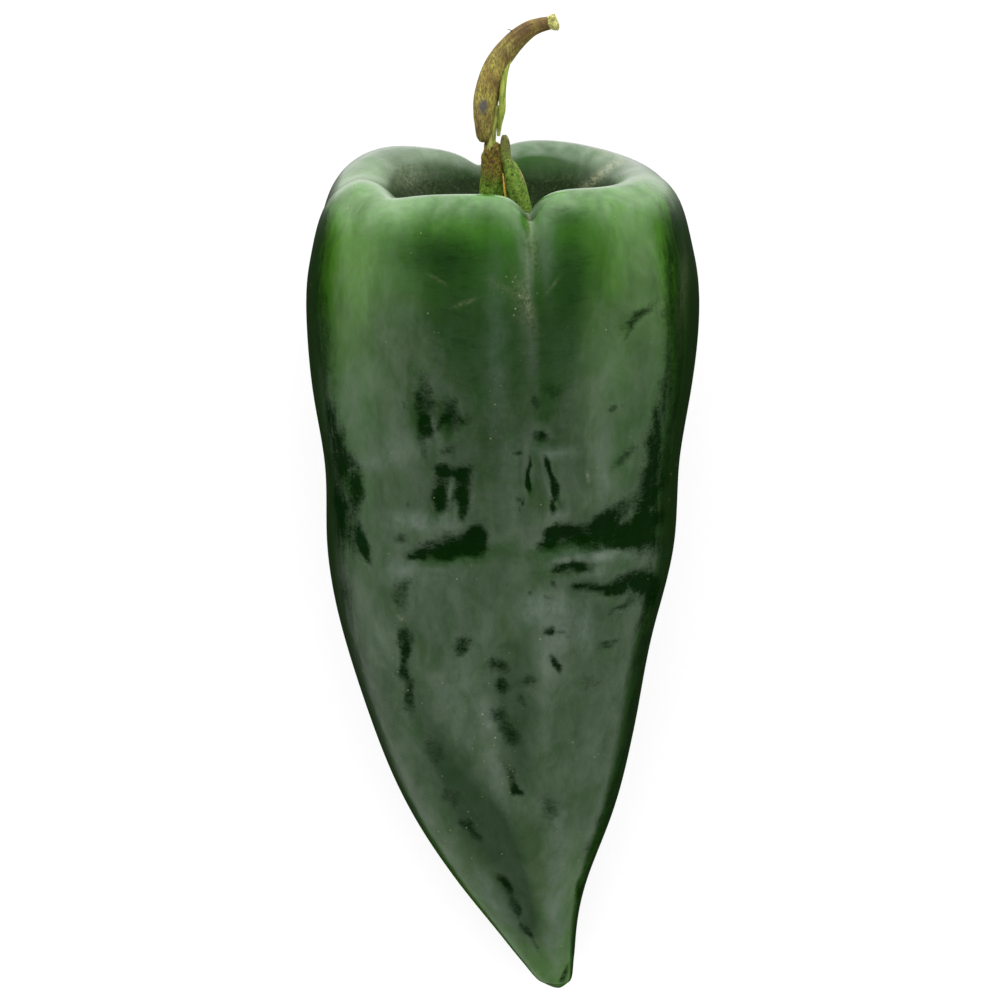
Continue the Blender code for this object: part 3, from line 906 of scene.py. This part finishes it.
class Shader(Nodes):
    """A material with a Principled BSDF, whose colour is painted on in layers."""

    def __init__(self, name):
        self.material = bpy.data.materials.new(name)
        self.material.use_nodes = True
        super().__init__(self.material.node_tree)
        self.surface = self.tree.nodes["Principled BSDF"]

    def locate(self):
        """Finds the place in the pepper's own frame, in millimetres, and returns its x, y and z."""
        inputs = {"Location": AXIS_PLACE, "Rotation": AXIS_TURN.to_euler("XYZ"), "Scale": (MM, MM, MM)}
        inputs["Vector"] = self.add("ShaderNodeTexCoord").outputs["Object"]
        self.place = self.add("ShaderNodeMapping", inputs, vector_type="TEXTURE").outputs["Vector"]
        return self.parts(self.place)

    def noise(self, scale, detail, roughness, distortion=0.0, stretch=(1.0, 1.0, 1.0)):
        """Noise at the place, with its x, y and z multiplied by `stretch`."""
        inputs = {"Scale": scale, "Detail": detail, "Roughness": roughness, "Distortion": distortion}
        inputs["Vector"] = self.stretched(stretch)
        return self.add("ShaderNodeTexNoise", inputs).outputs["Fac"]

    def stretched(self, scale):
        """The place with its x, y and z multiplied by the scale's."""
        return self.add("ShaderNodeMapping", {"Vector": self.place, "Scale": scale}).outputs["Vector"]

    def specks(self, scale, size):
        """1 in small round specks and 0 round them."""
        near = self.add("ShaderNodeTexVoronoi", {"Vector": self.place, "Scale": scale}).outputs["Distance"]
        return self.ramp(near, (size * 0.5, 1.0), (size, 0.0))

    def value(self, name):
        """The number that the mesh keeps under this name."""
        return self.add("ShaderNodeAttribute", attribute_name=name).outputs["Fac"]

    def bump(self, height, strength, distance):
        """The normal of a surface with this relief."""
        inputs = {"Height": height, "Strength": strength, "Distance": distance}
        return self.add("ShaderNodeBump", inputs).outputs["Normal"]

    def paint(self, share, colour, blend="MIX"):
        """Paints a share of a colour over the colour so far."""
        self.colour = self.mix(share, self.colour, colour, blend)

    def complete(self, roughness, specular, normal):
        """Sets the surface's inputs, and returns the material."""
        names = ("Base Color", "Roughness", "Specular IOR Level", "Normal")
        for name, value in zip(names, (self.colour, roughness, specular, normal)):
            self.put(self.surface.inputs[name], value)
        return self.material


# The skin's colours in linear light: down its middle and its sides from the tip (0) to the stem (1), and how
# much of the sides' shows from left (0) to right (1). The paler green towards the stem is partly the skin's
# own colour and partly painted light on the shoulders, and the sides' paler bands there are painted
# highlights.
MIDDLE_COLOURS = (
    (0.0, (0.034, 0.12, 0.004)),
    (0.14, (0.022, 0.08, 0.003)),
    (0.25, (0.009, 0.045, 0.002)),
    (0.5, (0.008, 0.039, 0.002)),
    (0.7, (0.006, 0.031, 0.0015)),
    (0.84, (0.006, 0.033, 0.0015)),
    (0.92, (0.017, 0.082, 0.003)),
    (0.95, (0.036, 0.145, 0.004)),
    (1.0, (0.04, 0.165, 0.005)),
)
SIDE_COLOURS = (
    (0.0, (0.02, 0.068, 0.004)),
    (0.12, (0.01, 0.042, 0.002)),
    (0.5, (0.007, 0.038, 0.002)),
    (0.72, (0.012, 0.06, 0.002)),
    (0.81, (0.024, 0.086, 0.003)),
    (0.91, (0.045, 0.145, 0.005)),
    (1.0, (0.042, 0.155, 0.005)),
)
SIDE_SHARES = ((0.0, 0.2), (0.06, 0.5), (0.12, 1.0), (0.18, 1.0), (0.215, 0.5), (0.3, 0.2), (0.38, 0.05),
               (0.69, 0.0), (0.73, 0.5), (0.8, 0.8), (0.9, 0.7), (1.0, 0.1))
# Below, in order: the back lobes' painted light, the mottle's colour and the sides' painted shade, a finer
# paler mottle, deeper green with painted shade, strokes, painted reflection, and nearly black painted shade.
BACK_PAINTED_LIGHT_COLOUR = (0.013, 0.06, 0.003)
MOTTLE_AND_SIDE_SHADE_COLOUR = (0.004, 0.018, 0.001)
FINE_COLOUR = (0.018, 0.062, 0.004)
DEEP_GREEN_AND_SHADE_COLOUR = (0.005, 0.028, 0.002)
STROKE_COLOUR = (0.003, 0.016, 0.001)
BLOOM_AND_REFLECTION_COLOUR = (0.042, 0.078, 0.044)
PAINTED_SHADE_COLOUR = (0.001, 0.0085, 0.0007)
HOLLOW_SHADE_AND_SPECK_COLOURS = ((0.4, (0.005, 0.016, 0.002)), (0.58, (0.013, 0.028, 0.006)), (0.7, (0.06, 0.07, 0.024)))
SCAR_COLOUR = (0.16, 0.18, 0.1)
SPECK_COLOUR = (0.3, 0.36, 0.14)
DOT_COLOUR = (0.36, 0.38, 0.14)

# Where the skin's tip and left edge lie, its length and width from there, and how far behind the axis its
# colour turns to the back lobes' painted light, in millimetres.
SKIN_TIP = -143.0
SKIN_LENGTH = 146.0
SKIN_LEFT = -33.0
SKIN_WIDTH = 66.0
SKIN_BEHIND = -20.0
SKIN_ROUGHNESS = 0.2


def skin_material():
    """Dark green waxy skin: paler on the shoulders, partly with painted light, and at the tip; with painted
    highlights, reflections and shade, mottling, dots and scars.
    """
    s = Shader("skin")
    x, y, z = s.locate()
    along = s.share_of(y, SKIN_TIP, SKIN_LENGTH)
    # Paler towards the stem: partly the skin's own colour, partly painted light on the shoulders, with
    # painted highlights down both sides.
    sides = s.ramp(s.share_of(x, SKIN_LEFT, SKIN_WIDTH), *SIDE_SHARES)
    s.colour = s.mix(sides, s.ramp(along, *MIDDLE_COLOURS), s.ramp(along, *SIDE_COLOURS))
    # Painted light: the back lobes, behind the axis, are paler where they face the bright light beyond the
    # stem.
    s.paint(s.step(s.share_of(z, 0.0, SKIN_BEHIND), 0.05, 0.5, high=0.85), BACK_PAINTED_LIGHT_COLOUR)
    mottle = s.noise(0.16, 4.0, 0.6, 0.6, (1.0, 0.4, 1.0))
    s.paint(s.step(mottle, 0.45, 0.75, high=0.5), MOTTLE_AND_SIDE_SHADE_COLOUR)
    fine = s.noise(0.7, 4.0, 0.65, 0.4, (1.0, 0.6, 1.0))
    s.paint(s.step(fine, 0.45, 0.72, high=0.4), FINE_COLOUR)
    # Deeper green, partly painted shade.
    deep = s.value("deep_green_and_shade")
    s.paint(deep, DEEP_GREEN_AND_SHADE_COLOUR)

    # The sides, darkened with painted shade along a streaky border, and the short strokes inside the deep
    # green.
    streak = s.swing(s.noise(0.6, 4.0, 0.66, 0.3, (1.0, 0.14, 1.0)), 1.1)
    edge = s.step(s.math("ADD", s.value("side"), streak), 0.22, 0.75, high=0.95)
    s.paint(edge, MOTTLE_AND_SIDE_SHADE_COLOUR)
    stroke = s.noise(0.7, 4.0, 0.66, 1.6, (0.35, 1.1, 0.35))
    stroke = s.product(deep, s.step(stroke, 0.52, 0.62), s.step(along, 0.6, 0.72))
    s.paint(s.product(stroke, 0.6), STROKE_COLOUR)
    # Painted reflection: paler grey-blue patches, which also make the wax glossier.
    bloom_and_reflection = s.product(s.value("bloom_and_reflection"), s.step(fine, 0.3, 0.65, low=0.4))
    s.paint(bloom_and_reflection, BLOOM_AND_REFLECTION_COLOUR)

    # Painted shade: the nearly black marks on the dents and along the sides, with torn edges.
    torn = s.swing(s.noise(1.1, 4.0, 0.7, 0.6, (0.8, 1.0, 1.0)), 0.8)
    torn = s.math("ADD", torn, s.swing(s.noise(2.4, 3.0, 0.65, 0.8, (0.7, 1.7, 1.0)), 0.9))
    torn = s.math("ADD", torn, s.product(streak, s.math("ADD", s.value("side"), 0.4)))
    dark = s.step(s.math("ADD", s.value("dark"), torn), 0.2, 0.86)
    s.paint(s.product(dark, 0.92), PAINTED_SHADE_COLOUR)

    # The painted shade down in the hollow, the scars, and the specks and dots.
    crackle = s.noise(1.6, 4.0, 0.7, 0.4)
    hollow = s.value("hollow")
    s.paint(hollow, s.ramp(crackle, *HOLLOW_SHADE_AND_SPECK_COLOURS))
    s.paint(s.product(s.value("scar"), s.step(crackle, 0.35, 0.6)), SCAR_COLOUR)
    speck = s.product(s.specks(0.34, 0.06), s.step(mottle, 0.42, 0.56), 0.4)
    s.paint(speck, SPECK_COLOUR)
    dot = s.product(s.specks(0.75, 0.15), s.value("dotted"), 0.6)
    s.paint(dot, DOT_COLOUR)

    # The wax's gloss.
    brushed = s.noise(0.3, 6.0, 0.66, 0.5, (1.0, 0.5, 1.0))
    wax = s.product(s.step(mottle, 0.3, 0.7, 0.58, 0.36), s.step(brushed, 0.36, 0.64, 1.3, 0.7))
    wax = s.product(wax, s.math("ADD", 1.0, s.product(bloom_and_reflection, 0.6)))
    for less, share in ((dark, 0.97), (hollow, 0.85), (deep, 0.55), (edge, 0.45), (stroke, 0.3)):
        wax = s.product(wax, s.math("SUBTRACT", 1.0, s.product(less, share)))
    roughness = SKIN_ROUGHNESS
    for more, share in ((hollow, 0.3), (edge, 0.16)):
        roughness = s.math("ADD", roughness, s.product(more, share))
    ripple = s.bump(s.noise(0.3, 2.0, 0.5), 0.3, 0.25 * MM)
    return s.complete(roughness, wax, ripple)


# The bark's colours, and how it is tinted from the shank's foot (0) to its end (1).
BARK_COLOURS = ((0.34, (0.14, 0.085, 0.03)), (0.5, (0.24, 0.2, 0.055)), (0.66, (0.36, 0.34, 0.08)))
BARK_TINTS = (
    (0.0, (0.9, 0.9, 0.65)),
    (0.15, (1.4, 1.42, 1.15)),
    (0.55, (1.35, 1.25, 1.0)),
    (0.72, (1.1, 1.1, 0.9)),
    (0.84, (0.6, 0.47, 0.38)),
    (1.0, (0.75, 0.6, 0.5)),
)
SHANK_FOOT = 4.0
SHANK_HEIGHT = 21.0
# The middle of the mould's blotch, in space stretched like this.
MOULD = (-3.2, 6.1, 0.9)
MOULD_STRETCH = (1.0, 0.6, 0.5)


def bark_material():
    """Dry olive-brown bark with green-yellow streaks, dark speckles, and a blue-grey blotch of mould."""
    s = Shader("bark")
    _, y, _ = s.locate()
    fibre = s.noise(4.2, 5.0, 0.65, stretch=(1.0, 0.3, 1.0))
    patch = s.noise(0.45, 4.0, 0.6, stretch=(1.0, 0.5, 1.0))
    grit = s.noise(5.0, 3.0, 0.7)
    tint = s.ramp(s.share_of(y, SHANK_FOOT, SHANK_HEIGHT), *BARK_TINTS)
    s.colour = s.mix(1.0, s.ramp(patch, *BARK_COLOURS), tint, "MULTIPLY")
    s.paint(s.step(fibre, 0.42, 0.6, high=0.75), (0.075, 0.045, 0.016))
    s.paint(s.step(grit, 0.55, 0.68, high=0.7), (0.04, 0.03, 0.012))
    blotch = {0: s.stretched(MOULD_STRETCH), 1: MOULD}
    mould = s.add("ShaderNodeVectorMath", blotch, operation="DISTANCE").outputs["Value"]
    mould = s.math("ADD", mould, s.swing(patch, 1.0))
    s.paint(s.step(mould, 0.35, 1.0, 0.8, 0.0), (0.085, 0.085, 0.1))
    return s.complete(0.75, 0.3, s.bump(fibre, 0.8, 0.25 * MM))


# The foot's browns and greens, and where the one turns into the other, in millimetres.
FOOT_BROWNS = ((0.36, (0.13, 0.055, 0.009)), (0.5, (0.165, 0.13, 0.014)), (0.64, (0.22, 0.21, 0.028)))
FOOT_GREENS = ((0.36, (0.07, 0.17, 0.012)), (0.62, (0.19, 0.36, 0.035)))
FOOT_GREEN_FROM = -0.6
FOOT_GREEN_OVER = -3.0


def foot_material():
    """The foot of the stem: red-brown bark that turns green further down, with dark speckles."""
    s = Shader("foot")
    _, y, _ = s.locate()
    patch = s.noise(0.9, 4.0, 0.65)
    grit = s.noise(2.6, 5.0, 0.75)
    lower = s.share_of(s.math("ADD", y, s.swing(patch, 9.0)), FOOT_GREEN_FROM, FOOT_GREEN_OVER)
    s.colour = s.mix(s.step(lower, 0.0, 1.0), s.ramp(patch, *FOOT_BROWNS), s.ramp(patch, *FOOT_GREENS))
    s.paint(s.step(grit, 0.48, 0.6, high=0.92), (0.025, 0.016, 0.005))
    return s.complete(0.65, 0.2, s.bump(grit, 0.7, 0.2 * MM))


def fresh_material(name, light, dark):
    """Torn stem flesh: pale fibres with dark grit."""
    s = Shader(name)
    s.locate()
    fibre = s.noise(2.4, 4.0, 0.6, stretch=(1.0, 0.2, 1.0))
    grit = s.noise(4.0, 3.0, 0.7)
    s.colour = s.ramp(fibre, (0.4, dark), (0.58, light))
    s.paint(s.step(grit, 0.54, 0.68, high=0.75), (0.06, 0.05, 0.015))
    return s.complete(0.6, 0.35, s.bump(fibre, 0.6, 0.12 * MM))


# The flap's greens, and in millimetres where it turns olive and where its scar lies: right of a sloping line.
FLAP_GREENS = ((0.34, (0.07, 0.15, 0.012)), (0.5, (0.15, 0.27, 0.03)), (0.66, (0.24, 0.34, 0.05)))
FLAP_OLIVE_FROM = -0.5
FLAP_OLIVE_OVER = 4.0
FLAP_SCAR_RIGHT = 2.25
FLAP_SCAR_SLOPE = 0.46
FLAP_SCAR_LOW = -4.6
FLAP_SCAR_LENGTH = 4.6


def flap_material():
    """Green calyx tissue with dark and pale speckles, olive at its top and with a pale scar on its right."""
    s = Shader("calyx_green")
    x, y, _ = s.locate()
    patch = s.noise(0.9, 4.0, 0.65)
    speckle = s.noise(2.4, 5.0, 0.75)
    olive = s.step(s.share_of(y, FLAP_OLIVE_FROM, FLAP_OLIVE_OVER), 0.0, 1.0, high=0.8)
    s.colour = s.mix(olive, s.ramp(patch, *FLAP_GREENS), (0.15, 0.12, 0.035))
    edge = s.math("ADD", s.math("ADD", x, s.product(y, FLAP_SCAR_SLOPE)), s.swing(speckle, 1.0))
    scar = s.step(s.share_of(edge, FLAP_SCAR_RIGHT, 1.0), 0.0, 0.2, high=0.85)
    reach = s.share_of(y, FLAP_SCAR_LOW, FLAP_SCAR_LENGTH)
    reach = s.ramp(reach, (0.0, 0.0), (0.2, 1.0), (0.75, 1.0), (1.0, 0.0))
    s.paint(s.product(scar, reach), (0.5, 0.36, 0.16))
    s.paint(s.step(speckle, 0.49, 0.61, high=0.9), (0.025, 0.034, 0.008))
    return s.complete(0.6, 0.2, s.bump(speckle, 0.6, 0.2 * MM))


def split_by_bearing(mesh, bearing, first, last, name):
    """The part of a mesh whose faces lie between two bearings, with the whole mesh's normals."""
    corners = read(mesh.loops, "vertex_index", int)
    starts = read(mesh.polygons, "loop_start", int)
    sizes = np.diff(np.append(starts, len(corners)))
    sine = np.add.reduceat(np.sin(bearing[corners]), starts)
    cosine = np.add.reduceat(np.cos(bearing[corners]), starts)
    turn = np.degrees(np.arctan2(sine, cosine))
    inside = (turn >= first) & (turn < last)
    used, places = np.unique(corners[np.repeat(inside, sizes)], return_inverse=True)
    faces = np.split(places, np.cumsum(sizes[inside])[:-1])
    part = bpy.data.meshes.new(name)
    points = read(mesh.vertices, "co", width=3)[used]
    part.from_pydata(points.tolist(), [], [face.tolist() for face in faces])
    part.shade_smooth()
    normals = read(mesh.vertex_normals, "vector", width=3)[used]
    part.normals_split_custom_set_from_vertices(normals.tolist())
    for layer in mesh.attributes:
        if layer.domain == "POINT" and layer.data_type == "FLOAT":
            add_values(part, layer.name, read(layer.data, "value", np.float32)[used])
    return part


def add_values(mesh, name, values):
    """Keeps a number for each vertex, which the materials read by its name."""
    layer = mesh.attributes.new(name, "FLOAT", "POINT")
    layer.data.foreach_set("value", np.asarray(values, np.float32))


def make_fruit(material):
    """The skin: one surface, pressed in at the dents, in pieces whose edges meet."""
    mesh = sphere_mesh("skin", FRUIT_AROUND, FRUIT_RINGS, fruit_surface, FRONT_CROWDING)
    pepper = read(mesh.vertices, "co", width=3)
    bearing = np.arctan2(pepper[:, 0], pepper[:, 2])
    points = to_row(pepper)
    set_points(mesh, points)
    normals = read(mesh.vertex_normals, "vector", width=3)
    pressed = marks(points, normals, DENTS, DENT_POWER) * MM
    for name, rows, power, uneven in MARK_LAYERS:
        add_values(mesh, name, np.clip(marks(points, normals, rows, power, uneven), 0, 1))
    # The painted shade of the sides, by how far the normal turns to either side.
    add_values(mesh, "side", np.clip((np.abs(normals[:, 0]) - SIDE_FROM) / SIDE_REACH, 0, 1))
    # Painted shade in the hollow, darker further down.
    within = (pepper[:, 0] / HOLLOW_HALF_WIDTH) ** 2 + (pepper[:, 2] / HOLLOW_HALF_DEPTH) ** 2 < 1
    hollow = np.clip(-(pepper[:, 1] + HOLLOW_DARK_FROM) / HOLLOW_DARK_OVER, 0, 1)
    add_values(mesh, "hollow", hollow * within * (pepper[:, 1] > -HOLLOW_DEPTH))
    points = points - normals * (pressed + SKIN_INSET)[:, None]
    points[:, 2] = np.maximum(points[:, 2], 0)
    set_points(mesh, points)
    for name, (first, last) in SKIN_PIECES.items():
        part = split_by_bearing(mesh, bearing, first, last, name)
        set_points(part, from_row(read(part.vertices, "co", width=3)))
        add_piece(name, part, material, "fruit")
    bpy.data.meshes.remove(mesh)


def make_stem():
    """The calyx and the snapped stem, in the pieces that it grew or tore into."""
    bark = bark_material()
    strip = fresh_material("torn_green", (0.38, 0.44, 0.07), (0.18, 0.24, 0.03))
    fibres = fresh_material("torn_fibres", (0.36, 0.39, 0.08), (0.16, 0.17, 0.03))
    cut = fresh_material("cut_end", (0.52, 0.52, 0.17), (0.24, 0.22, 0.05))
    vein = fresh_material("vein", (0.62, 0.36, 0.07), (0.45, 0.24, 0.04))
    green = flap_material()
    foot = foot_material()
    limbs = (
        ("stem_foot", STEM_FOOT, 90, 110, TORN_BARK, foot),
        ("stem_flap", STEM_FLAP, 80, 110, TORN_BARK, green),
        ("stem_shank", STEM_SHANK, 130, 260, DRY_BARK, bark),
        ("stem_strip", STEM_STRIP, 48, 140, TORN_BARK, strip),
        ("stem_fibres", STEM_FIBRES, 48, 110, TORN_BARK, fibres),
        ("stem_cut", STEM_CUT, 80, 40, TORN_END, cut),
        ("stem_vein", STEM_VEIN, 20, 60, DRY_BARK, vein),
        ("stem_spike", STEM_SPIKE, 12, 20, DRY_BARK, bark),
    )
    for name, stations, around, rings, kind, material in limbs:
        mesh = sphere_mesh(name, around, rings, limb_surface(stations, rings, kind))
        add_piece(name, mesh, material, "stem")
    calyx = sphere_mesh("calyx", CALYX_AROUND, CALYX_RINGS, calyx_surface)
    add_piece("calyx", calyx, green, "stem")


def make_floor():
    """A pale floor that takes the pepper's soft shadow, and throws no light back on the pepper."""
    mesh = bpy.data.meshes.new("floor")
    sheet = bmesh.new()
    bmesh.ops.create_grid(sheet, x_segments=1, y_segments=1, size=FLOOR_HALF_WIDTH)
    sheet.to_mesh(mesh)
    sheet.free()
    floor = bpy.data.objects.new("floor", mesh)
    bpy.context.scene.collection.objects.link(floor)
    s = Shader("floor")
    for name, value in FLOOR_LOOK.items():
        s.put(s.surface.inputs[name], value)
    mesh.materials.append(s.material)
    floor.visible_glossy = False
    floor.visible_diffuse = False


def make_camera():
    """The camera, as far from its target as makes the picture span PICTURE_WIDTH there."""
    camera = bpy.data.cameras.new("camera")
    camera.lens = CAMERA_LENS
    camera.sensor_width = CAMERA_SENSOR
    view = bpy.data.objects.new("camera", camera)
    bpy.context.scene.collection.objects.link(view)
    away = Vector((0, math.sin(CAMERA_LEAN), math.cos(CAMERA_LEAN)))
    view.location = CAMERA_TARGET + away * PICTURE_WIDTH * CAMERA_LENS / CAMERA_SENSOR
    view.rotation_euler = (-CAMERA_LEAN, 0, 0)
    bpy.context.scene.camera = view


def make_light():
    """A studio's soft light: a ring of pale walls, brightest beyond the stem, with a dim ceiling."""
    world = bpy.data.worlds.new("studio")
    world.use_nodes = True
    bpy.context.scene.world = world
    s = Nodes(world.node_tree)
    direction = s.add("ShaderNodeTexCoord").outputs["Generated"]
    x, y, z = s.parts(direction)
    level = s.math("SQRT", s.math("ADD", s.product(x, x), s.product(y, y)))
    towards_stem = s.math("DIVIDE", y, s.math("MAXIMUM", level, 0.001))
    share = s.share_of(towards_stem, -1.0, 2.0)
    height = s.share_of(s.math("DEGREES", s.math("ARCSINE", z)), -90.0, 180.0)
    raised = s.product(s.math("MAXIMUM", x, 0.0), NEAR_RAISED)
    near = s.curve(s.math("SUBTRACT", height, raised), RING_NEAR)
    ring = s.mix(s.step(share, *NEAR_TO_SIDES), near, s.curve(height, RING_LIGHT))
    ring = s.mix(s.step(share, *SIDES_TO_BEYOND), ring, s.curve(height, RING_BEYOND))
    light = s.math("ADD", s.product(s.curve(share, WALL_LIGHT), ring), s.curve(height, CEILING_LIGHT))
    background = world.node_tree.nodes["Background"]
    s.put(background.inputs["Strength"], light)
    background.inputs["Color"].default_value = (1, 1, 1, 1)


def main():
    bpy.context.scene.view_settings.view_transform = "Standard"
    make_camera()
    make_light()
    make_floor()
    make_fruit(skin_material())
    make_stem()


main()
